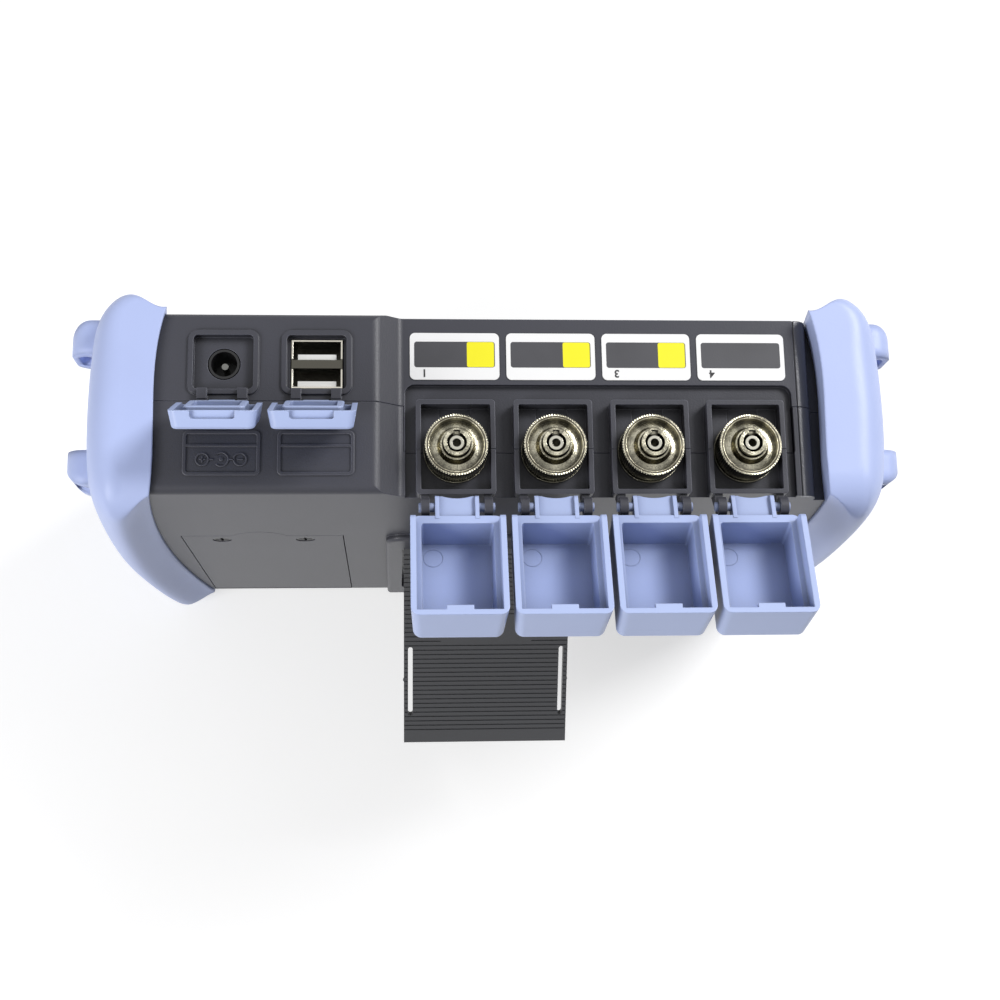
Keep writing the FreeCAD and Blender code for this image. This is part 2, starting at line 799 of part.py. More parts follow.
def bumper_form():
    """Outer form of one bumper, lofted through sections that bow at mid height."""
    middle = bumper_height / 2
    sections = []
    steps = [bumper_crown * share for share in (0.0, 0.1, 0.3, 0.6, 1.0)] + [bumper_shoulder]
    for z in steps + [middle] + [bumper_height - step for step in reversed(steps)]:
        distance = min(z, bumper_height - z)
        rounding = max(0.0, 1 - distance / bumper_crown)
        crown = 1 - (1 - rounding ** 2.4) ** 0.42
        inset = crown_inset * crown + 1.2 * (1 - min(distance, middle) / middle)
        bulge = 1 - ((z - middle) / middle) ** 2
        bead = 1 - bead_fade * crown
        outer = bumper_half_width - inset + bulge_out * bulge
        sections.append(bumper_section(z, outer, lip_x + lip_bow * bulge, bead, bulge))
    form = Part.makeLoft(sections, True, False)
    form.translate(Vector(0, 0, z_bottom - bumper_foot))
    return form.cut(rear_corner(z_top + bumper_foot, 1)).cut(rear_corner(z_bottom - bumper_foot, -1))


def rear_corner(z, direction):
    """Material outside the rounding that eases a bumper's rear corner at its top or its foot."""
    radius = rear_corner_radius
    centre_y = rear_depth + rear_bead + bulge_rear * 0.4 - radius
    centre_z = z - direction * radius
    reach = bumper_half_width + 2 * lug_reach
    z_far = z + direction * radius
    corner = block(0, reach, centre_y, centre_y + 3 * radius, min(centre_z, z_far), max(centre_z, z_far))
    return corner.cut(rod_x(-1, reach + 1, centre_y, centre_z, radius))


def strap_lug(y, direction):
    """D-shaped strap loop on the bumper's side; direction is the way its rounded end faces."""
    z = z_top - lug_drop
    reach = bumper_half_width + lug_reach
    half = lug_height / 2
    profile = round_outline([
        (bumper_half_width - 6, z - half, 0), (reach, z - half, half * 0.72),
        (reach, z + half, half * 0.72), (bumper_half_width - 6, z + half, 0)])
    lug = prism_y(profile, y - lug_length / 2, y + lug_length / 2)
    round_radius = 6.5
    plan = round_outline([
        (bumper_half_width - 7, y - direction * lug_length / 2, 0),
        (reach, y - direction * lug_length / 2, 0.8),
        (reach, y + direction * lug_length / 2, round_radius),
        (bumper_half_width - 7, y + direction * lug_length / 2, 0)])
    return lug.common(prism_z(plan, z - lug_height, z + lug_height))


def strap_slot(y):
    z = z_top - lug_drop
    x1 = bumper_half_width + lug_reach - strap_slot_wall
    return prism_y(box_outline(x1 - strap_slot_width, x1, z - strap_slot_height / 2,
                               z + strap_slot_height / 2, strap_slot_width * 0.45),
                   y - lug_length, y + lug_length)


def make_bumper(envelope):
    form = bumper_form()
    lugs = [strap_lug(front_lug_y, -1), strap_lug(rear_lug_y, 1)]
    bumper = form.multiFuse(lugs)
    bumper = bumper.cut(envelope)
    bumper = bumper.cut(strap_slot(front_lug_y).fuse(strap_slot(rear_lug_y)))
    return largest(bumper)


# Ports

def make_adapter(x):
    z_flange = z_pocket
    base = rod_z(x, port_y, cavity_top, z_flange, adapter_hole_radius)
    flange = rod_z(x, port_y, z_flange, z_flange + flange_height, flange_radius)
    spigot = rod_z(x, port_y, z_flange, z_port + spigot_top, spigot_radius)
    bore = rod_z(x, port_y, z_port - 1, z_port + spigot_top + 1, spigot_bore)
    slot = centred(x, key_slot_width, port_y - spigot_radius - 1, port_y - spigot_bore * 0.5,
                   z_port + spigot_top - key_slot_depth, z_port + spigot_top + 1)
    adapter = union([base, flange, spigot]).cut(bore.fuse(slot))
    sleeve = rod_z(x, port_y, z_port - 1, z_port + spigot_top - 0.6, sleeve_radius)
    sleeve = sleeve.cut(rod_z(x, port_y, z_port, z_port + spigot_top, ferrule_bore))
    return adapter, sleeve


def make_nut():
    """Knurled nut about the Z axis, bottom face at z = 0, with a dished face and a raised hub."""
    bore = spigot_radius + adapter_clearance
    bevel = nut_bevel
    dish_r = nut_radius - nut_rim
    turned_face = Part.Face(Part.makePolygon([
        Vector(bore, 0, 0), Vector(nut_radius - 1.6, 0, 0), Vector(nut_radius - 1.6, 0, 0.9),
        Vector(nut_radius - bevel, 0, 0.9), Vector(nut_radius, 0, 0.9 + bevel),
        Vector(nut_radius, 0, nut_height - bevel), Vector(nut_radius - bevel, 0, nut_height),
        Vector(dish_r, 0, nut_height), Vector(dish_r - 0.5, 0, nut_height - nut_dish),
        Vector(nut_hub_radius, 0, nut_height - nut_dish * 0.8),
        Vector(nut_hub_top_radius, 0, nut_height + nut_hub_rise), Vector(bore, 0, nut_height + nut_hub_rise),
        Vector(bore, 0, 0)]))
    body = turned_face.revolve(Vector(0, 0, 0), Vector(0, 0, 1), 360)
    points = []
    for index in range(2 * knurl_count):
        angle = pi * index / knurl_count
        radius = nut_radius + 0.01 - (knurl_depth if index % 2 else 0.0)
        points.append(Vector(radius * cos(angle), radius * sin(angle), -1))
    points.append(points[0])
    star = Part.Face(Part.makePolygon(points)).extrude(Vector(0, 0, nut_height + nut_hub_rise + 2))
    return body.common(star)


def make_cap(x):
    """Port cap in its closed place."""
    half = cap_width / 2
    z_roof = z_cap_rim + cap_height
    lower = box_outline(x - half, x + half, cap_front_y, cap_rear_y, cap_corner)
    upper = box_outline(x - half + cap_draft, x + half - cap_draft,
                        cap_front_y + cap_draft, cap_rear_y - cap_draft * 0.3, cap_corner)
    lower.translate(Vector(0, 0, z_cap_rim))
    upper.translate(Vector(0, 0, z_roof))
    shell = Part.makeLoft([lower, upper], True, True)
    roof_edges = [edge for edge in shell.Edges
                  if min(vertex.Point.z for vertex in edge.Vertexes) > z_roof - 0.01]
    shell = shell.makeFillet(1.4, roof_edges)
    z_step = z_rim + cap_rest_gap
    mouth = box_outline(x - half + cap_inner_wall, x + half - cap_inner_wall,
                        cap_front_y + cap_inner_wall, cap_rear_y - cap_hinge_wall, 0.8)
    bottom = box_outline(x - half + cap_inner_wall + cap_inner_draft,
                         x + half - cap_inner_wall - cap_inner_draft,
                         cap_front_y + cap_inner_wall + cap_inner_draft,
                         cap_rear_y - cap_hinge_wall - cap_hinge_draft, 0.8)
    mouth.translate(Vector(0, 0, z_cap_rim - 1))
    bottom.translate(Vector(0, 0, z_roof - cap_roof))
    room = Part.makeLoft([mouth, bottom], True, True)
    rabbet = block(x - half + cap_wall, x + half - cap_wall, cap_front_y + cap_wall, cap_rear_y + 1,
                   z_cap_rim - 1, z_step)
    back = prism_x(round_outline([
        (cap_rear_y - cap_side_setback, z_cap_rim - 3, 0), (cap_rear_y + 3, z_cap_rim - 3, 0),
        (cap_rear_y + 3, z_step, 0), (cap_rear_y - cap_side_setback, z_step, 0.8)]), x - half - 1, x + half + 1)
    horn_round = prism_x(Part.Wire([
        Part.LineSegment(Vector(cap_rear_y - cap_side_setback - 2, z_cap_rim - 0.01, 0),
                         Vector(cap_rear_y - cap_side_setback + 0.01, z_cap_rim - 0.01, 0)).toShape(),
        Part.LineSegment(Vector(cap_rear_y - cap_side_setback + 0.01, z_cap_rim - 0.01, 0),
                         Vector(cap_rear_y - cap_side_setback + 0.01, z_cap_rim + 2, 0)).toShape(),
        Part.Arc(Vector(cap_rear_y - cap_side_setback + 0.01, z_cap_rim + 2, 0),
                 Vector(cap_rear_y - cap_side_setback - 0.576, z_cap_rim + 0.576, 0),
                 Vector(cap_rear_y - cap_side_setback - 2, z_cap_rim - 0.01, 0)).toShape()]),
        x - half - 1, x + half + 1)
    shell = shell.cut(room.multiFuse([rabbet, back, horn_round]))
    latch = centred(x, latch_width, cap_front_y + cap_wall - 0.5, cap_front_y + cap_wall + latch_reach,
                    z_cap_rim, z_cap_rim + latch_height)
    web_low = cap_pin_z - tongue_web / 2
    web_high = cap_pin_z + tongue_web / 2
    flanges = []
    flange_profile = round_outline([
        (cap_rear_y - 1, cap_pin_z - cap_pin_radius - 0.4, 0),
        (cap_pin_y + tongue_end, cap_pin_z - cap_pin_radius - 0.4, 1.2),
        (cap_pin_y + tongue_end, cap_pin_z + cap_pin_radius + 0.6, 0.8),
        (cap_rear_y - 1, cap_pin_z + cap_pin_radius + 0.6, 0)])
    for side in (-1, 1):
        x0 = x + side * (tongue_width - tongue_flange) / 2 - tongue_flange / 2
        flanges.append(prism_x(flange_profile, x0, x0 + tongue_flange))
        pin_start = tongue_width / 2 - tongue_flange / 2
        pin_end = cap_pin_length / 2
        x_low = x + min(side * pin_start, side * pin_end)
        x_high = x + max(side * pin_start, side * pin_end)
        flanges.append(rod_x(x_low, x_high, cap_pin_y, cap_pin_z, cap_pin_radius))
    web = centred(x, tongue_width, cap_rear_y - 1, cap_pin_y + tongue_end, web_low, web_high)
    notch = rod_z(x, cap_pin_y + tongue_end + tongue_notch_radius - tongue_notch_depth, web_low - 1, web_high + 1,
                  tongue_notch_radius)
    web = web.cut(notch)
    return largest(union([shell, latch, web] + flanges))


# Sockets

def make_dc_jack():
    z_face = z_top - socket_recess
    housing = rod_z(dc_x, socket_y, z_face - dc_barrel_depth - 2, z_face, dc_hole_radius)
    housing = housing.cut(rod_z(dc_x, socket_y, z_face - dc_barrel_depth, z_face + 1, dc_hole_radius - dc_wall))
    pin = rod_z(dc_x, socket_y, z_face - dc_barrel_depth, z_face - 2.5, dc_pin_radius)
    return housing, pin


def make_usb():
    z_face = z_top - socket_recess + 0.4
    shell = block(usb_x - usb_width / 2, usb_x + usb_width / 2, socket_y - usb_stack / 2,
                  socket_y + usb_stack / 2, z_face - usb_depth, z_face)
    tongues = []
    slot_height = (usb_stack - usb_divider) / 2 - usb_shell
    for side in (-1, 1):
        y = socket_y + side * (usb_divider + slot_height) / 2
        shell = shell.cut(block(usb_x - usb_width / 2 + usb_shell, usb_x + usb_width / 2 - usb_shell,
                                y - slot_height / 2, y + slot_height / 2,
                                z_face - usb_depth + 1.5, z_face + 1))
        y_tongue = y + slot_height * 0.16
        tongues.append(centred(usb_x, usb_tongue_width, y_tongue, y_tongue + usb_tongue_thickness,
                               z_face - usb_depth + 1.5, z_face - 0.9))
    return shell, Part.makeCompound(tongues)


def make_flap(x):
    """Socket flap in its closed place: a tray with a hollow plug inside and arms to its hinge."""
    z0 = z_top + flap_rest_gap
    z1 = z0 + flap_height
    y0 = flap_front_y
    y1 = flap_rear_y
    half = flap_width / 2
    lower = box_outline(x - half, x + half, y0, y1, flap_corner)
    upper = box_outline(x - half + 0.9, x + half - 0.9, y0 + 0.9, y1 - 0.4, flap_corner)
    lower.translate(Vector(0, 0, z0))
    upper.translate(Vector(0, 0, z1))
    tray = Part.makeLoft([lower, upper], True, True)
    roof_edges = [edge for edge in tray.Edges
                  if min(vertex.Point.z for vertex in edge.Vertexes) > z1 - 0.01]
    tray = tray.makeFillet(1.0, roof_edges)
    room = prism_z(box_outline(x - half + flap_wall, x + half - flap_wall, y0 + flap_wall,
                               y1 + 2, 0.5), z0 - 1, z1 - flap_roof)
    notch = prism_y(box_outline(x - finger_notch_width / 2, x + finger_notch_width / 2,
                                z0 - 3, z0 + finger_notch_depth, 0.8), y0 - 1, y0 + 1.3)
    heel = block(x - half - 1, x + half + 1, y1 - flap_heel, y1 + 1, z0 - 1, z0 + flap_heel)
    heel = heel.cut(rod_x(x - half - 2, x + half + 2, y1 - flap_heel, z0 + flap_heel, flap_heel))
    tray = tray.cut(room.multiFuse([notch, heel]))
    plug_bottom = z_top + frame_rise - plug_rise
    plug = prism_z(box_outline(x - plug_width / 2, x + plug_width / 2, socket_y - plug_length / 2,
                               socket_y + plug_length / 2, 1.6), plug_bottom, z1 - flap_roof + 0.5)
    rim_edges = [edge for edge in plug.Edges
                 if max(vertex.Point.z for vertex in edge.Vertexes) < plug_bottom + 0.01]
    plug = plug.makeFillet(plug_round, rim_edges)
    plug = plug.cut(prism_z(box_outline(
        x - plug_width / 2 + plug_wall, x + plug_width / 2 - plug_wall,
        socket_y - plug_length / 2 + plug_wall, socket_y + plug_length / 2 - plug_wall, 0.8),
        plug_bottom - 1, z1 - flap_roof))
    arm_top = z1 - 0.4
    arm_profile = round_outline([
        (y1 - 2, z1 - flap_roof, 0), (y1 - 2, arm_top, 0), (flap_pin_y - 0.4, arm_top, 1.0),
        (flap_pin_y + flap_eye_radius * 0.8, flap_pin_z + 0.4, 0),
        (flap_pin_y - flap_eye_radius * 0.9, flap_pin_z, 0),
        (flap_pin_y - flap_eye_radius * 0.9, z1 - flap_roof, 0)])
    arm = prism_x(arm_profile, x - flap_arm_width / 2, x + flap_arm_width / 2)
    eye = rod_x(x - flap_arm_width / 2, x + flap_arm_width / 2, flap_pin_y, flap_pin_z, flap_eye_radius)
    pin_half = knuckle_offset + knuckle_width / 2
    pin = rod_x(x - pin_half, x + pin_half, flap_pin_y, flap_pin_z, flap_pin_radius)
    return largest(union([tray, plug, arm, eye, pin]))


# Stand and battery door

def make_stand():
    """Stand folded flat in its recess, ribbed on its outer face."""
    y0 = stand_outer_y - stand_thickness
    y1 = stand_outer_y
    z_end = stand_pivot_z - stand_length
    half = stand_width / 2
    side = round_outline([
        (y0, z_end, 0.6), (y1, z_end, 0.6),
        (y1, stand_pivot_z + stand_thickness / 2, stand_thickness * 0.49),
        (y0, stand_pivot_z + stand_thickness / 2, stand_thickness * 0.49)])
    plate = prism_x(side, stand_x - half, stand_x + half)
    cuts = []
    z_pad_top = stand_pivot_z - pad_top
    z_pad_end = z_pad_top - pad_length
    count = int((stand_length - 3) / rib_pitch)
    grooves = []
    for index in range(1, count):
        z = stand_pivot_z - 1 - index * rib_pitch
        grooves.append(block(stand_x - half - 1, stand_x + half + 1, y1 - rib_depth, y1 + 1,
                             z - rib_groove / 2, z + rib_groove / 2))
    pad = prism_y(box_outline(stand_x - pad_width / 2, stand_x + pad_width / 2,
                              z_pad_end, z_pad_top, 2.4), y1 - 2, y1 + 2)
    cuts.append(Part.makeCompound(grooves).cut(pad))
    for sign in (-1, 1):
        x = stand_x + sign * (half - stand_slot_inset)
        z1 = stand_pivot_z - stand_slot_start
        cuts.append(prism_y(box_outline(x - stand_slot_width / 2, x + stand_slot_width / 2,
                                        z1 - stand_slot_length, z1, stand_slot_width * 0.49),
                            y0 - 1, y1 + 1))
    cuts.append(rod_x(stand_x - half - 1, stand_x + half + 1, stand_pivot_y, stand_pivot_z,
                      stand_pin_radius + pin_fit))
    for cutter in cuts:
        plate = plate.cut(cutter)
    pips = [Part.makeSphere(pip_radius, Vector(stand_x + sign * (half - pip_radius + pip_reach),
                                               (y0 + y1) / 2, stand_pivot_z - pip_position))
            for sign in (-1, 1)]
    return largest(union([plate] + pips))


def make_door():
    y1 = rear_depth
    y0 = y1 - door_thickness
    door = prism_y(door_outline(0), y0, y1)
    foot_edges = [edge for edge in door.Edges
                  if max(vertex.Point.z for vertex in edge.Vertexes) < door_bottom_z + 0.01
                  and abs(edge.tangentAt(edge.FirstParameter).x) > 0.9]
    door = door.makeFillet(door_swing_radius, foot_edges)
    screws = []
    for x, z in door_screw_places():
        seat = rod_y(x, z, y1 - 1.1, y1 + 1, door_screw_radius)
        door = door.cut(seat).cut(rod_y(x, z, y0 - 1, y1 + 1, case_screw_radius + case_screw_gap))
        head = rod_y(x, z, y1 - 1.0, y1 - 0.2, door_screw_radius - case_screw_gap)
        shank = rod_y(x, z, y0, y1 - 1.0, case_screw_radius)
        recess = block(x - 0.4, x + 0.4, y1 - 0.7, y1 + 1, z - 2.1, z + 2.1)
        recess = recess.fuse(block(x - 2.1, x + 2.1, y1 - 0.7, y1 + 1, z - 0.4, z + 0.4))
        screws.append(head.fuse(shank).cut(recess))
    return door, Part.makeCompound([largest(screw) for screw in screws])


# Inside pieces

def make_inside():
    x0, x1, z0, z1 = board_size()
    board = block(x0, x1, board_y, board_y + board_thickness, z0, z1)
    chips = [block(x, x + 16, board_y + board_thickness, board_y + board_thickness + 2.2, z, z + 16)
             for x, z in ((x0 + 20, z0 + 24), (x0 + 52, z0 + 30), (x0 + 84, z0 + 20))]
    board = union([board] + chips)
    x_mid = (port_xs[0] + port_xs[-1]) / 2
    optics = block(x_mid - optics_length / 2, x_mid + optics_length / 2, cavity_rear_y - optics_depth,
                   cavity_rear_y, cavity_top - optics_height, cavity_top)
    battery = block(door_x - door_width / 2 + door_ledge + battery_gap,
                    door_x + door_width / 2 - door_ledge - battery_gap,
                    rear_depth - door_thickness - 0.3 - battery_depth, rear_depth - door_thickness - 0.3,
                    door_bottom_z + door_ledge + battery_gap,
                    door_top_z - door_screw_drop * 2 - battery_gap)
    long_edges = [edge for edge in battery.Edges if abs(edge.tangentAt(edge.FirstParameter).z) > 0.9]
    battery = battery.makeFillet(3.0, long_edges)
    return board, optics, battery


def make_labels():
    plates = []
    for x in port_xs:
        plates.append(prism_z(box_outline(x - label_width / 2, x + label_width / 2, label_front_y,
                                          label_front_y + label_length, label_corner),
                              z_port, z_port + label_thickness))
    return Part.makeCompound(plates)


def make_case_screws():
    screws = []
    for x, z in case_screw_places():
        head_y = rear_depth - case_screw_head_depth
        head = rod_y(x, z, head_y, head_y + 2.2, case_screw_head)
        shank = rod_y(x, z, -front_depth + 6, head_y, case_screw_radius)
        screws.append(largest(head.fuse(shank)))
    return Part.makeCompound(screws)


def main():
    os.makedirs("parts", exist_ok=True)
    envelope, front, rear = make_shells()
    save("front_shell", front)
    save("rear_shell", rear)
    save("bumper_socket_end", make_bumper(envelope))
    mirrored = envelope.mirror(Vector(0, 0, 0), Vector(1, 0, 0))
    save("bumper_port_end", make_bumper(mirrored).mirror(Vector(0, 0, 0), Vector(1, 0, 0)))
    glass, gasket, lcd, lens = make_screen()
    save("screen_glass", glass)
    save("screen_gasket", gasket)
    save("lcd_module", lcd)
    save("charge_light", lens)
    save("key_membrane", make_membrane())
    for name, z in zip(key_names, key_zs):
        save(name, make_key(z))
    nut = make_nut()
    for index, x in enumerate(port_xs, start=1):
        adapter, sleeve = make_adapter(x)
        save("adapter_%d" % index, adapter)
        save("ferrule_sleeve_%d" % index, sleeve)
        save("adapter_nut_%d" % index, moved(nut, x, port_y, z_pocket + nut_base))
        save("port_cap_%d" % index, turned(make_cap(x), cap_pin_y, cap_pin_z, cap_open_angle))
    save("port_labels", make_labels())
    housing, pin = make_dc_jack()
    save("dc_jack", housing)
    save("dc_jack_pin", pin)
    shell, tongues = make_usb()
    save("usb_shell", shell)
    save("usb_tongues", tongues)
    save("dc_flap", turned(make_flap(dc_x), flap_pin_y, flap_pin_z, flap_open_angle))
    save("usb_flap", turned(make_flap(usb_x), flap_pin_y, flap_pin_z, flap_open_angle))
    save("stand", turned(make_stand(), stand_pivot_y, stand_pivot_z, -stand_open_angle))
    save("stand_pin", rod_x(stand_x - stand_pin_length / 2, stand_x + stand_pin_length / 2,
                            stand_pivot_y, stand_pivot_z, stand_pin_radius))
    door, screws = make_door()
    save("battery_door", door)
    save("door_screws", screws)
    board, optics, battery = make_inside()
    save("main_board", board)
    save("optical_module", optics)
    save("battery_pack", battery)
    save("case_screws", make_case_screws())


main()
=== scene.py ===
import json
import math

import bpy
from mathutils import Matrix, Vector


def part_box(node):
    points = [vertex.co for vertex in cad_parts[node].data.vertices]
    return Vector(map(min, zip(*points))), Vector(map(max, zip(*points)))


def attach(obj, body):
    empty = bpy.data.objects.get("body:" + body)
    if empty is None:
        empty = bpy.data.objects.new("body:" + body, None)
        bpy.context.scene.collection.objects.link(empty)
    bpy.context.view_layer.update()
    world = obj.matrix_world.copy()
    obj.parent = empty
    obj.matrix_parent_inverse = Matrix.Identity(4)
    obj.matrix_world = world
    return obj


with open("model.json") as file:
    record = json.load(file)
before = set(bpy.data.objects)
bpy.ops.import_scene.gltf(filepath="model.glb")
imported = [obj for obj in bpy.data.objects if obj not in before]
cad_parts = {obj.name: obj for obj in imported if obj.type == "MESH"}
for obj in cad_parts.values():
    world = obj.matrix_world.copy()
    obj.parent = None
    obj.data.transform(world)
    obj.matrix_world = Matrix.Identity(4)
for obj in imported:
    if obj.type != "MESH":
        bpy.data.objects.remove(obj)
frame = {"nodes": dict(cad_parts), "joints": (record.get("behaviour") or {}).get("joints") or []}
NODES = frame["nodes"]
JOINTS = {joint["name"]: joint for joint in frame["joints"]}
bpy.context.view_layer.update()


# Places from the CAD model, in metres

def middle(node):
    low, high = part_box(node)
    return (low + high) / 2


def closed_to_rest(joint_name):
    """Carries a shape from a hinge's closed place, at its upper limit, to its open place at rest."""
    joint = JOINTS[joint_name]
    pin = Vector(joint["pos_m"])
    turn = Matrix.Rotation(math.radians(-joint["range_deg"][1]), 4, Vector(joint["axis"]))
    return Matrix.Translation(pin) @ turn @ Matrix.Translation(-pin)


PORT_COUNT = 4
PORTS = [middle("adapter_nut_%d" % k) for k in range(1, PORT_COUNT + 1)]
PORT_PITCH = PORTS[0].x - PORTS[1].x
DC_X = middle("dc_jack_pin").x
SOCKET_Y = middle("usb_shell").y
SERIAL_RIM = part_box("usb_shell")[1].z
LABEL_LOW, LABEL_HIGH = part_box("port_labels")
CASE_TOP = 0.165


# Node helpers

MIX_SOCKETS = {"FLOAT": (2, 3, 0), "RGBA": (6, 7, 2)}    # first, second, result
NOISE_ROUGHNESS = 0.55
RAY_SAMPLES = 8


def nodes_of(material):
    tree = material.node_tree
    return tree, tree.nodes["Principled BSDF"]


def new_material(name):
    material = bpy.data.materials.new(name)
    material.use_nodes = True
    return material, *nodes_of(material)


def feed(tree, socket, value):
    """Links an output to the socket, or sets the socket to a plain value."""
    if isinstance(value, bpy.types.NodeSocket):
        tree.links.new(value, socket)
    else:
        socket.default_value = value


def calculate(tree, operation, *values):
    node = tree.nodes.new("ShaderNodeMath")
    node.operation = operation
    for socket, value in zip(node.inputs, values):
        feed(tree, socket, value)
    return node.outputs[0]


def mix(tree, factor, first, second, kind="RGBA", method="MIX"):
    node = tree.nodes.new("ShaderNodeMix")
    node.data_type = kind
    node.blend_type = method
    first_socket, second_socket, result = MIX_SOCKETS[kind]
    feed(tree, node.inputs["Factor"], factor)
    feed(tree, node.inputs[first_socket], first)
    feed(tree, node.inputs[second_socket], second)
    return node.outputs[result]


def object_coordinates(tree):
    return tree.nodes.new("ShaderNodeTexCoord").outputs["Object"]


def place_of_point(tree):
    """X, Y and Z of the shaded point, as three outputs."""
    node = tree.nodes.new("ShaderNodeSeparateXYZ")
    tree.links.new(object_coordinates(tree), node.inputs[0])
    return node.outputs


def noise(tree, vector, scale, detail=4.0):
    node = tree.nodes.new("ShaderNodeTexNoise")
    node.inputs["Scale"].default_value = scale
    node.inputs["Detail"].default_value = detail
    node.inputs["Roughness"].default_value = NOISE_ROUGHNESS
    tree.links.new(vector, node.inputs["Vector"])
    return node.outputs["Fac"]


def grey(level):
    return (level, level, level)


def ramp(tree, value, first, second):
    """Runs from the first stop's colour to the second's; a stop is a place and a colour."""
    node = tree.nodes.new("ShaderNodeValToRGB")
    for element, (place, color) in zip(node.color_ramp.elements, (first, second)):
        element.position = place
        element.color = (*color, 1.0)
    tree.links.new(value, node.inputs["Fac"])
    return node.outputs["Color"]


def span(tree, value, low, high):
    node = tree.nodes.new("ShaderNodeMapRange")
    node.inputs["To Min"].default_value = low
    node.inputs["To Max"].default_value = high
    tree.links.new(value, node.inputs["Value"])
    return node.outputs["Result"]


def bump(tree, shader, height, strength, distance, edge_radius):
    """Fine relief; with an edge radius, sharp edges also catch the light as slightly rounded ones."""
    node = tree.nodes.new("ShaderNodeBump")
    node.inputs["Strength"].default_value = strength
    node.inputs["Distance"].default_value = distance
    tree.links.new(height, node.inputs["Height"])
    if edge_radius > 0:
        edge = tree.nodes.new("ShaderNodeBevel")
        edge.samples = RAY_SAMPLES
        edge.inputs["Radius"].default_value = edge_radius
        tree.links.new(edge.outputs["Normal"], node.inputs["Normal"])
    tree.links.new(node.outputs["Normal"], shader.inputs["Normal"])


def fed_by(node, channel):
    """The output that feeds a channel so far."""
    return node.inputs[channel].links[0].from_socket


def tint(tree, shader, tone):
    """Multiplies the base colour by a tone."""
    product = mix(tree, 1.0, fed_by(shader, "Base Color"), tone, method="MULTIPLY")
    tree.links.new(product, shader.inputs["Base Color"])


def recolor(tree, shader, mask, color):
    """Lays a colour over the base colour where the mask is 1."""
    result = mix(tree, mask, fed_by(shader, "Base Color"), (*color, 1.0))
    tree.links.new(result, shader.inputs["Base Color"])


def backdrop_rays(tree):
    """1 for rays that show the background as it is seen: from the camera, in metal and through glass."""
    path = tree.nodes.new("ShaderNodeLightPath").outputs
    seen = calculate(tree, "MAXIMUM", path["Is Camera Ray"], path["Is Glossy Ray"])
    return calculate(tree, "MAXIMUM", seen, path["Is Transmission Ray"])


# Kinds of material

def shade(color, factor):
    return tuple(min(1.0, part * factor) for part in color)


def moulded(name, color, roughness, grain, depth, variation, edge=0.0, shine=0.5):
    """Injection-moulded plastic or rubber with a fine grain and a slight unevenness of tone."""
    material, tree, shader = new_material(name)
    vector = object_coordinates(tree)
    patches = noise(tree, vector, scale=28.0, detail=3.0)
    tone = ramp(tree, patches, (0.3, shade(color, 1 - variation)), (0.7, shade(color, 1 + variation)))
    tree.links.new(tone, shader.inputs["Base Color"])
    fine = noise(tree, vector, scale=grain, detail=2.0)
    smoothest, roughest = roughness - 0.05, roughness + 0.06
    tree.links.new(span(tree, fine, smoothest, roughest), shader.inputs["Roughness"])
    bump(tree, shader, fine, strength=depth, distance=0.0002, edge_radius=edge)
    shader.inputs["Specular IOR Level"].default_value = shine
    return material


def turned_metal(name, color, roughness, streak=0.0):
    """Plated metal with a faint tint; with a streak value, its shine runs round the vertical axis."""
    material, tree, shader = new_material(name)
    vector = object_coordinates(tree)
    patches = noise(tree, vector, scale=90.0, detail=2.0)
    tone = ramp(tree, patches, (0.3, shade(color, 0.93)), (0.75, shade(color, 1.05)))
    tree.links.new(tone, shader.inputs["Base Color"])
    shader.inputs["Metallic"].default_value = 1.0
    fine = noise(tree, vector, scale=2600.0, detail=2.0)
    smoothest, roughest = roughness - 0.04, roughness + 0.06
    tree.links.new(span(tree, fine, smoothest, roughest), shader.inputs["Roughness"])
    bump(tree, shader, fine, strength=0.05, distance=0.0001, edge_radius=0.00012)
    if streak > 0:
        shader.inputs["Anisotropic"].default_value = streak
        tangent = tree.nodes.new("ShaderNodeTangent")
        tangent.direction_type = "RADIAL"
        tangent.axis = "Z"
        tree.links.new(tangent.outputs["Tangent"], shader.inputs["Tangent"])
    return material


def dark_glass(name):
    """Screen glass with a hard coat and faint smears."""
    material, tree, shader = new_material(name)
    smears = noise(tree, object_coordinates(tree), scale=35.0, detail=3.0)
    tone = ramp(tree, smears, (0.2, (0.012, 0.013, 0.016)), (0.8, (0.018, 0.019, 0.023)))
    tree.links.new(tone, shader.inputs["Base Color"])
    tree.links.new(span(tree, smears, 0.06, 0.11), shader.inputs["Roughness"])
    shader.inputs["Coat Weight"].default_value = 0.6
    return material


def unlit_display(name):
    """Display module that is switched off."""
    material, tree, shader = new_material(name)
    patches = noise(tree, object_coordinates(tree), scale=12.0)
    tone = ramp(tree, patches, (0.2, (0.02, 0.03, 0.05)), (0.8, (0.03, 0.04, 0.06)))
    tree.links.new(tone, shader.inputs["Base Color"])
    shader.inputs["Roughness"].default_value = 0.2
    return material


# Painted shade and light, and other finishes, that are laid over a material

def shaded_recesses(material, reach, deepest):
    """Painted shade: the base colour is darkened where close walls are near, so inner corners and recesses
    look darker.
    """
    tree, shader = nodes_of(material)
    nearby = tree.nodes.new("ShaderNodeAmbientOcclusion")
    nearby.samples = RAY_SAMPLES
    nearby.inputs["Distance"].default_value = reach
    tint(tree, shader, ramp(tree, nearby.outputs["AO"], (0.35, grey(deepest)), (0.95, grey(1.0))))


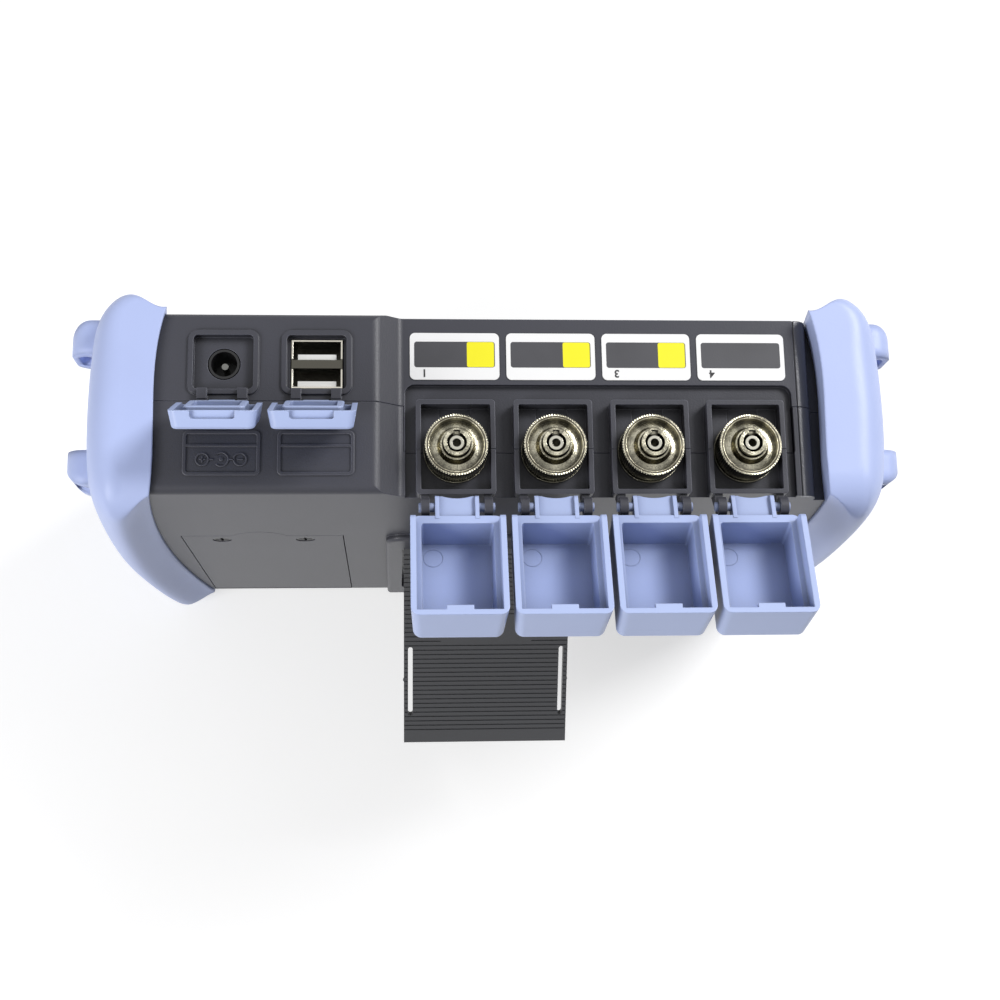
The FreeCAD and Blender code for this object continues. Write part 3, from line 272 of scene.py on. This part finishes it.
def pale_edges(material, lift):
    """Painted highlight: where the edge-rounded normal turns from the true one, the case's base colour is
    made paler, so edges look as if they catch the light.
    """
    tree, shader = nodes_of(material)
    relief = fed_by(shader, "Normal").node
    rounded = fed_by(relief, "Normal")
    flat = tree.nodes.new("ShaderNodeNewGeometry").outputs["Normal"]
    turn = tree.nodes.new("ShaderNodeVectorMath")
    turn.operation = "DOT_PRODUCT"
    tree.links.new(rounded, turn.inputs[0])
    tree.links.new(flat, turn.inputs[1])
    tint(tree, shader, ramp(tree, turn.outputs["Value"], (0.80, grey(lift)), (0.97, grey(1.0))))


def pillar_gloss(material):
    """The round pillar beside the port end's bumper has a high polish, so the grain of the case stops
    there; its base colour is also made paler, a painted light that lifts it out of the shade.
    """
    pillar_side = 0.0915
    pillar_foot = 0.158
    pillar_roughness = 0.22
    tree, shader = nodes_of(material)
    place = place_of_point(tree)
    beside = calculate(tree, "LESS_THAN", place["X"], -pillar_side)
    above = calculate(tree, "GREATER_THAN", place["Z"], pillar_foot)
    on_pillar = calculate(tree, "MULTIPLY", beside, above)
    roughness = mix(tree, on_pillar, fed_by(shader, "Roughness"), pillar_roughness, kind="FLOAT")
    tree.links.new(roughness, shader.inputs["Roughness"])
    # Painted light: a paler base colour on the pillar, over the painted shade of the recesses.
    recolor(tree, shader, on_pillar, (0.105, 0.106, 0.120))


def dark_chambers(material, color):
    """Painted shade: the inside of the two stacked sockets, below the bright rim, is given a dark base
    colour, and the bar between them the same dark colour.
    """
    rim_depth = 0.0005
    bar_half_width = 0.0016
    tree, shader = nodes_of(material)
    place = place_of_point(tree)
    deep = calculate(tree, "LESS_THAN", place["Z"], SERIAL_RIM - rim_depth)
    on_bar = calculate(tree, "COMPARE", place["Y"], SOCKET_Y, bar_half_width)
    recolor(tree, shader, calculate(tree, "MAXIMUM", deep, on_bar), color)


def knurled_nuts(material):
    """Turned groove round the rim of each nut, the knurl's teeth outside it and a blasted grain, with
    painted sheen round each axis and painted shade in the groove.
    """
    groove_radius = 0.0084
    groove_half_width = 0.00022
    tooth_radius = 0.0087
    teeth = 72.0
    tree, shader = nodes_of(material)

    # Polar place on the nearest nut
    place = place_of_point(tree)
    from_last_port = calculate(tree, "SUBTRACT", place["X"], PORTS[-1].x)
    across = calculate(tree, "PINGPONG", from_last_port, PORT_PITCH / 2)
    along = calculate(tree, "SUBTRACT", place["Y"], PORTS[0].y)
    across_squared = calculate(tree, "MULTIPLY", across, across)
    along_squared = calculate(tree, "MULTIPLY", along, along)
    radius = calculate(tree, "SQRT", calculate(tree, "ADD", across_squared, along_squared))
    angle = calculate(tree, "ARCTAN2", along, across)

    # Relief of the teeth, the groove and the grain
    wave = calculate(tree, "SINE", calculate(tree, "MULTIPLY", angle, teeth))
    outside = calculate(tree, "GREATER_THAN", radius, tooth_radius)
    rim = calculate(tree, "MULTIPLY", outside, wave)
    groove = calculate(tree, "COMPARE", radius, groove_radius, groove_half_width)
    blasted = noise(tree, object_coordinates(tree), scale=2400.0, detail=3.0)
    raised = calculate(tree, "MULTIPLY", rim, 0.30)
    sunk = calculate(tree, "MULTIPLY", groove, 0.7)
    grain = calculate(tree, "MULTIPLY", blasted, 0.45)
    height = calculate(tree, "ADD", calculate(tree, "SUBTRACT", raised, sunk), grain)
    relief = fed_by(shader, "Normal").node
    relief.inputs["Strength"].default_value = 0.55
    relief.inputs["Distance"].default_value = 0.00025
    tree.links.new(height, relief.inputs["Height"])

    # Tone: painted sheen that varies round each nut's axis, pits of the grain, painted shade in the groove
    direction = tree.nodes.new("ShaderNodeCombineXYZ")
    tree.links.new(calculate(tree, "DIVIDE", across, radius), direction.inputs["X"])
    tree.links.new(calculate(tree, "DIVIDE", along, radius), direction.inputs["Y"])
    # Painted sheen: lighter and darker lobes round the axis stand in for the turned metal's reflections.
    painted_sheen = noise(tree, direction.outputs[0], scale=1.7, detail=1.0)
    tint(tree, shader, ramp(tree, painted_sheen, (0.38, grey(0.50)), (0.62, grey(1.15))))
    tint(tree, shader, ramp(tree, blasted, (0.36, grey(0.55)), (0.56, grey(1.0))))
    # Painted shade: a dark line in the groove.
    recolor(tree, shader, calculate(tree, "MULTIPLY", groove, 0.85), (0.06, 0.05, 0.035))


def eased_corner(material, crown_radius):
    """The crown of a bumper has no crease, so the edge there is eased over a wider band than the lip's."""
    lip_end = 0.1015
    crown_start = 0.1090
    tree, shader = nodes_of(material)
    side = calculate(tree, "ABSOLUTE", place_of_point(tree)["X"])
    relief = fed_by(shader, "Normal").node
    edge = fed_by(relief, "Normal").node
    graded = tree.nodes.new("ShaderNodeMapRange")
    graded.interpolation_type = "SMOOTHSTEP"
    graded.inputs["From Min"].default_value = lip_end
    graded.inputs["From Max"].default_value = crown_start
    graded.inputs["To Min"].default_value = edge.inputs["Radius"].default_value
    graded.inputs["To Max"].default_value = crown_radius
    tree.links.new(side, graded.inputs["Value"])
    tree.links.new(graded.outputs["Result"], edge.inputs["Radius"])


# Materials of the part

GRAPHITE = (0.052, 0.053, 0.066)
LAVENDER = (0.46, 0.54, 0.85)

graphite = moulded("graphite_plastic", GRAPHITE, roughness=0.38, grain=2300.0, depth=0.26,
                   variation=0.05, edge=0.00035, shine=0.32)
# Painted shade in the case's recesses, painted highlights on its edges and painted light on the pillar.
shaded_recesses(graphite, reach=0.0035, deepest=0.45)
pale_edges(graphite, lift=3.2)
pillar_gloss(graphite)
stand_plastic = moulded("stand_plastic", (0.055, 0.056, 0.061), roughness=0.40, grain=2100.0, depth=0.16,
                        variation=0.05)

lavender_rubber = moulded("lavender_rubber", LAVENDER, roughness=0.42, grain=1500.0, depth=0.06,
                          variation=0.025, edge=0.0009)
eased_corner(lavender_rubber, crown_radius=0.0048)
lavender_plastic = moulded("lavender_plastic", (0.46, 0.55, 0.85), roughness=0.36, grain=1800.0, depth=0.05,
                           variation=0.03, edge=0.0004)
# Painted shade inside the caps and other recesses.
shaded_recesses(lavender_plastic, reach=0.012, deepest=0.50)

white_film = moulded("label_white", (0.91, 0.91, 0.915), roughness=0.35, grain=900.0, depth=0.02,
                     variation=0.02)
grey_film = moulded("label_grey", (0.050, 0.050, 0.058), roughness=0.42, grain=2600.0, depth=0.10,
                    variation=0.30)
yellow_film = moulded("label_yellow", (0.93, 0.86, 0.015), roughness=0.38, grain=900.0, depth=0.02,
                      variation=0.02)
ink = moulded("label_ink", (0.02, 0.02, 0.022), roughness=0.5, grain=900.0, depth=0.02, variation=0.05)

nickel = turned_metal("nickel_silver", (0.72, 0.68, 0.53), roughness=0.18, streak=0.7)
# Painted shade in the nuts' hollows; the nuts' tone then adds painted sheen and painted shade in the
# groove.
shaded_recesses(nickel, reach=0.0028, deepest=0.16)
knurled_nuts(nickel)
serial_steel = turned_metal("socket_shell", (0.66, 0.63, 0.55), roughness=0.20)
# Painted shade inside the socket chambers; the bar between them is dark as well.
dark_chambers(serial_steel, (0.10, 0.095, 0.08))
pin_steel = turned_metal("pin_steel", (0.20, 0.20, 0.19), roughness=0.12)
dark_steel = turned_metal("blackened_screw", (0.03, 0.03, 0.032), roughness=0.35)
sleeve = turned_metal("ferrule_sleeve", (0.62, 0.60, 0.52), roughness=0.2)
# Painted shade in the sleeve's recesses.
shaded_recesses(sleeve, reach=0.002, deepest=0.05)
module_metal = turned_metal("module_case", (0.72, 0.72, 0.73), roughness=0.35)

black_plastic = moulded("black_plastic", (0.006, 0.006, 0.007), roughness=0.38, grain=1800.0, depth=0.08,
                        variation=0.08)
tongue_plastic = moulded("socket_tongue", (0.82, 0.82, 0.80), roughness=0.40, grain=1600.0, depth=0.04,
                         variation=0.03)
silicone = moulded("silicone", (0.15, 0.15, 0.165), roughness=0.6, grain=1500.0, depth=0.05, variation=0.05)
key_plastic = moulded("key_plastic", (0.20, 0.22, 0.30), roughness=0.42, grain=1700.0, depth=0.06,
                      variation=0.05)
board_green = moulded("circuit_board", (0.02, 0.14, 0.05), roughness=0.35, grain=700.0, depth=0.08,
                      variation=0.20)
battery_wrap = moulded("battery_wrap", (0.05, 0.09, 0.24), roughness=0.36, grain=900.0, depth=0.03,
                       variation=0.08)
glass = dark_glass("cover_glass")
display = unlit_display("display")

PAINT = {
    "front_shell": graphite, "rear_shell": graphite, "battery_door": graphite,
    "bumper_socket_end": lavender_rubber, "bumper_port_end": lavender_rubber,
    "dc_flap": lavender_plastic, "usb_flap": lavender_plastic,
    "dc_jack": black_plastic, "dc_jack_pin": pin_steel,
    "usb_shell": serial_steel, "usb_tongues": tongue_plastic,
    "port_labels": white_film,
    "stand": stand_plastic, "stand_pin": dark_steel,
    "door_screws": dark_steel, "case_screws": dark_steel,
    "screen_glass": glass, "charge_light": glass, "lcd_module": display,
    "screen_gasket": silicone, "key_membrane": silicone,
    "main_board": board_green, "optical_module": module_metal, "battery_pack": battery_wrap,
}
for k in range(1, PORT_COUNT + 1):
    PAINT["adapter_%d" % k] = nickel
    PAINT["adapter_nut_%d" % k] = nickel
    PAINT["ferrule_sleeve_%d" % k] = sleeve
    PAINT["port_cap_%d" % k] = lavender_plastic
for name in NODES:
    if name.startswith("key_") and name not in PAINT:
        PAINT[name] = key_plastic

for name, node in NODES.items():
    node.data.materials.clear()
    node.data.materials.append(PAINT[name])


# Mesh helpers

CORNER_STEPS = 8
RING_STEPS = 48


def add_object(name, data):
    obj = bpy.data.objects.new(name, data)
    bpy.context.scene.collection.objects.link(obj)
    return obj


def add_solid(name, verts, faces):
    mesh = bpy.data.meshes.new(name)
    mesh.from_pydata(verts, [], faces)
    mesh.validate()
    return add_object(name, mesh)


def finish_piece(obj, material, body):
    obj.data.materials.clear()
    obj.data.materials.append(material)
    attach(obj, body)


def rounded_plate(name, x, y, width, length, radius, low, high):
    """Thin plate with rounded corners, from height low to height high."""
    outline = []
    for side, end, start in ((1, 1, 0), (-1, 1, 90), (-1, -1, 180), (1, -1, 270)):
        for step in range(CORNER_STEPS + 1):
            angle = math.radians(start + 90 * step / CORNER_STEPS)
            outline.append((x + side * (width / 2 - radius) + radius * math.cos(angle),
                            y + end * (length / 2 - radius) + radius * math.sin(angle)))
    count = len(outline)
    verts = [(px, py, z) for z in (low, high) for px, py in outline]
    faces = [list(reversed(range(count))), list(range(count, 2 * count))]
    faces += [[i, (i + 1) % count, count + (i + 1) % count, count + i] for i in range(count)]
    return add_solid(name, verts, faces)


def hoop(name, place, radius, width, depth, start=0.0, end=360.0):
    """Flat ring, or an arc of one, on a surface, or hanging under one where depth is negative."""
    x, y, z = place
    whole = end - start >= 360.0
    rows = RING_STEPS if whole else RING_STEPS + 1
    inner, outer = radius - width / 2, radius + width / 2
    section = ((inner, 0.0), (inner, depth), (outer, depth), (outer, 0.0))
    verts = []
    for row in range(rows):
        angle = math.radians(start + (end - start) * row / RING_STEPS)
        verts += [(x + reach * math.cos(angle), y + reach * math.sin(angle), z + height)
                  for reach, height in section]
    faces = []
    for row in range(RING_STEPS):
        following = (row + 1) % rows
        for corner in range(4):
            side = (corner + 1) % 4
            faces.append([4 * row + corner, 4 * row + side, 4 * following + side, 4 * following + corner])
    if not whole:
        faces += [[0, 1, 2, 3], [4 * RING_STEPS + corner for corner in (3, 2, 1, 0)]]
    return add_solid(name, verts, faces)


def figure(name, text, place, size):
    """A plain figure, as mesh: upright from the screen side, upside down in the photograph."""
    curve = bpy.data.curves.new(name, "FONT")
    curve.body = text
    curve.size = size
    curve.align_x = "CENTER"
    curve.align_y = "CENTER"
    curve.extrude = 0.00004
    curve.offset = 0.00007
    source = add_object(name + "_source", curve)
    bpy.context.view_layer.update()
    evaluated = source.evaluated_get(bpy.context.evaluated_depsgraph_get())
    mesh = bpy.data.meshes.new_from_object(evaluated)
    bpy.data.objects.remove(source)
    obj = add_object(name, mesh)
    obj.location = place
    return obj


# Round gate mark on the inside of each port cap, made on the closed cap

GATE_SIDE = 0.0068
GATE_Y = 0.0200
CAP_CEILING = 0.1737

for k, port in enumerate(PORTS, start=1):
    mark = hoop("gate_mark_%d" % k, (port.x + GATE_SIDE, GATE_Y, CAP_CEILING),
                radius=0.0028, width=0.00016, depth=-0.00007)
    mark.data.transform(closed_to_rest("port_cap_%d_hinge" % k))
    finish_piece(mark, lavender_plastic, "port_cap_%d" % k)


# Low wall at both rear corners of the socket flaps' trays, open where the hinge ears pass

FRAME_HALF_LENGTH = 0.0099
FLAP_CLEARANCE = 0.00025
WALL_INSET = 0.0001
WALL_THICKNESS = 0.0010
WALL_CORNER = 0.0003
WALL_INNER_END, WALL_OUTER_END = 0.0076, 0.0110
WALL_LOW, WALL_HIGH = CASE_TOP + 0.00115, CASE_TOP + 0.0039

wall_y = SOCKET_Y + FRAME_HALF_LENGTH + FLAP_CLEARANCE - WALL_INSET - WALL_THICKNESS / 2
wall_offset = (WALL_INNER_END + WALL_OUTER_END) / 2
wall_width = WALL_OUTER_END - WALL_INNER_END
for body in ("dc_flap", "usb_flap"):
    for side, end in ((-1, "port"), (1, "socket")):
        wall_x = middle(body).x + side * wall_offset
        wall = rounded_plate("%s_rear_wall_%s_side" % (body, end), wall_x, wall_y, wall_width,
                             WALL_THICKNESS, WALL_CORNER, WALL_LOW, WALL_HIGH)
        wall.data.transform(closed_to_rest(body + "_hinge"))
        finish_piece(wall, lavender_plastic, body)


# Raised polarity rings behind the power socket: two rings with a sign each, and an open arc round a dot

POLARITY_Y = 0.0176
SIGN_OFFSET = 0.0054
SIGN_RADIUS = 0.0018
LINK_OFFSET = 0.0029
LINK_LENGTH = 0.0014
ARC_RADIUS = 0.0020
DOT_SIZE = 0.0011
DOT_CORNER = 0.0005
RIB = 0.00042
RIB_CORNER = 0.0002
RAISE = 0.00035


def raised_plate(name, offset, width, length, corner=RIB_CORNER):
    plate = rounded_plate(name, DC_X + offset, POLARITY_Y, width, length, corner,
                          CASE_TOP, CASE_TOP + RAISE)
    finish_piece(plate, graphite, "case")


def raised_hoop(name, offset, radius, start=0.0, end=360.0):
    ring = hoop(name, (DC_X + offset, POLARITY_Y, CASE_TOP), radius, RIB, RAISE, start, end)
    finish_piece(ring, graphite, "case")


for index, side in enumerate((-1, 1)):
    raised_hoop("polarity_ring_%d" % index, side * SIGN_OFFSET, SIGN_RADIUS)
    raised_plate("polarity_bar_%d" % index, side * SIGN_OFFSET, SIGN_RADIUS, RIB)
    raised_plate("polarity_link_%d" % index, side * LINK_OFFSET, LINK_LENGTH, RIB)
raised_plate("polarity_upright", SIGN_OFFSET, RIB, SIGN_RADIUS)
raised_hoop("polarity_arc", 0.0, ARC_RADIUS, start=45.0, end=315.0)
raised_plate("polarity_dot", 0.0, DOT_SIZE, DOT_SIZE, DOT_CORNER)


# Labels in front of the ports: grey field, bare yellow square, plain number

FIELD_SIZE = (0.0240, 0.0080, 0.0008)      # width, length and corner radius
SQUARE_SIZE = (0.0081, 0.0078, 0.0006)
NUMBER_SIZE = 0.0033
FIELD_Y = LABEL_LOW.y + 0.0067
NUMBER_Y = LABEL_LOW.y + 0.0124
SQUARE_OFFSET = -0.0077
NUMBER_OFFSET = 0.0090
LABEL_TOP = LABEL_HIGH.z
FILM = 0.00003
PORTS_WITH_SQUARE = (1, 2, 3)
PORTS_WITH_NUMBER = (1, 3, 4)

for k, port in enumerate(PORTS, start=1):
    field = rounded_plate("label_field_%d" % k, port.x, FIELD_Y, *FIELD_SIZE, LABEL_TOP, LABEL_TOP + FILM)
    finish_piece(field, grey_film, "case")
    if k in PORTS_WITH_SQUARE:
        square = rounded_plate("label_square_%d" % k, port.x + SQUARE_OFFSET, FIELD_Y, *SQUARE_SIZE,
                               LABEL_TOP + FILM, LABEL_TOP + 2 * FILM)
        finish_piece(square, yellow_film, "case")
    if k in PORTS_WITH_NUMBER:
        place = (port.x + NUMBER_OFFSET, NUMBER_Y, LABEL_TOP + FILM)
        digit = figure("label_number_%d" % k, str(k), place, NUMBER_SIZE)
        finish_piece(digit, ink, "case")


# Floor and world

FLOOR_Z = -0.0021
FLOOR_GLOW = 0.55
WORLD_LIGHT = 0.28
WORLD_SEEN = 1.0
WHITE = (1, 1, 1, 1)


def floor_material():
    """Pale floor that keeps the shadow and glows a little where it is seen, so that it looks white."""
    material, tree, shader = new_material("floor")
    patches = noise(tree, object_coordinates(tree), scale=6.0)
    tone = ramp(tree, patches, (0.3, grey(0.56)), (0.7, grey(0.58)))
    tree.links.new(tone, shader.inputs["Base Color"])
    shader.inputs["Roughness"].default_value = 0.85
    shader.inputs["Emission Color"].default_value = WHITE
    glow = calculate(tree, "MULTIPLY", backdrop_rays(tree), FLOOR_GLOW)
    tree.links.new(glow, shader.inputs["Emission Strength"])
    return material


bpy.ops.mesh.primitive_plane_add(size=6.0, location=(0, 0, FLOOR_Z))
floor = bpy.context.object
floor.name = "floor"
floor.data.materials.append(floor_material())

world = bpy.data.worlds.new("studio")
bpy.context.scene.world = world
world.use_nodes = True
world_tree = world.node_tree
background = world_tree.nodes["Background"]
background.inputs["Color"].default_value = WHITE
strength = span(world_tree, backdrop_rays(world_tree), WORLD_LIGHT, WORLD_SEEN)
world_tree.links.new(strength, background.inputs["Strength"])


# Lamps

def softbox(name, place, target, size, power):
    """Square lamp that looks at the target and stays out of the camera's sight."""
    data = bpy.data.lights.new(name, "AREA")
    data.shape = "RECTANGLE"
    data.size = size
    data.size_y = size
    data.energy = power
    lamp = add_object(name, data)
    lamp.location = place
    direction = Vector(target) - Vector(place)
    lamp.rotation_euler = direction.to_track_quat("-Z", "Y").to_euler()
    lamp.visible_camera = False


softbox("key_light", place=(-0.80, -0.50, 1.02), target=(0, 0.02, 0.12), size=0.45, power=13.0)
softbox("rear_light", place=(0.50, 0.32, 0.52), target=(0.02, 0.02, 0.12), size=0.30, power=2.7)


# Camera fitted to the photograph

CAMERA_PLACE = Vector((0.02842, 0.12994, 0.60445))
CAMERA_RIGHT = Vector((-0.99779, 0.01693, 0.06422))
CAMERA_DOWN = Vector((0.00222, 0.97496, -0.22258))
CAMERA_FORWARD = Vector((-0.06638, -0.22195, -0.97285))
SENSOR_WIDTH = 36.0
FOCAL_LENGTH = 56.352

camera_data = bpy.data.cameras.new("camera")
camera_data.sensor_fit = "HORIZONTAL"
camera_data.sensor_width = SENSOR_WIDTH
camera_data.lens = FOCAL_LENGTH
camera_data.clip_start = 0.01
camera_data.clip_end = 20.0
camera = add_object("camera", camera_data)
rotation = Matrix((CAMERA_RIGHT, -CAMERA_DOWN, -CAMERA_FORWARD)).transposed()
camera.matrix_world = Matrix.Translation(CAMERA_PLACE) @ rotation.to_4x4()
bpy.context.scene.camera = camera
bpy.context.scene.view_settings.view_transform = "Standard"
